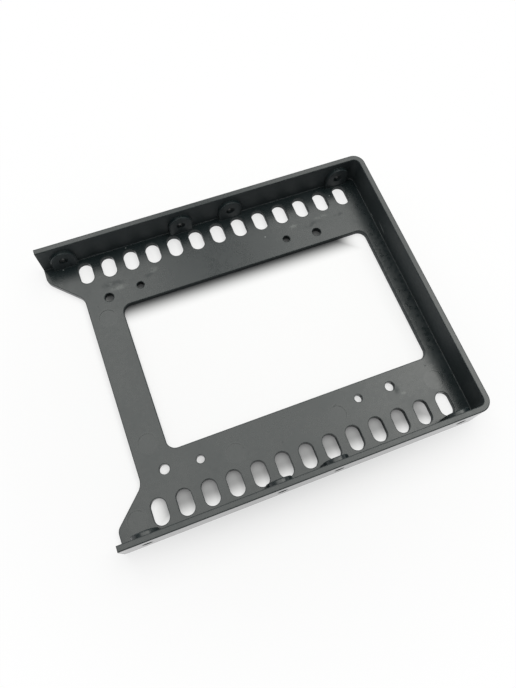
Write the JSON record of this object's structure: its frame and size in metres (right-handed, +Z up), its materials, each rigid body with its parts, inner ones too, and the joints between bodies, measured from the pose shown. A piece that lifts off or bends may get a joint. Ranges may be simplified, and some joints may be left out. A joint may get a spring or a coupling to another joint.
{
  "type": "drive bay adapter bracket",
  "caption": "Shallow moulded tray, open at one end, with a floor window, vent slots and walls with screw bosses, that holds a small drive in a larger drive bay.",
  "frame": {"origin": "centre of the tray's underside", "axes": "+X along the tray from its open end to its closed end, +Y across it, +Z up from the underside to the rim"},
  "size_m": [0.1184, 0.1002, 0.0127],
  "materials": {
    "black_plastic": "moulded black plastic, satin"
  },
  "bodies": {
    "root": {"adapter_tray": "black_plastic"}
  },
  "joints": []
}
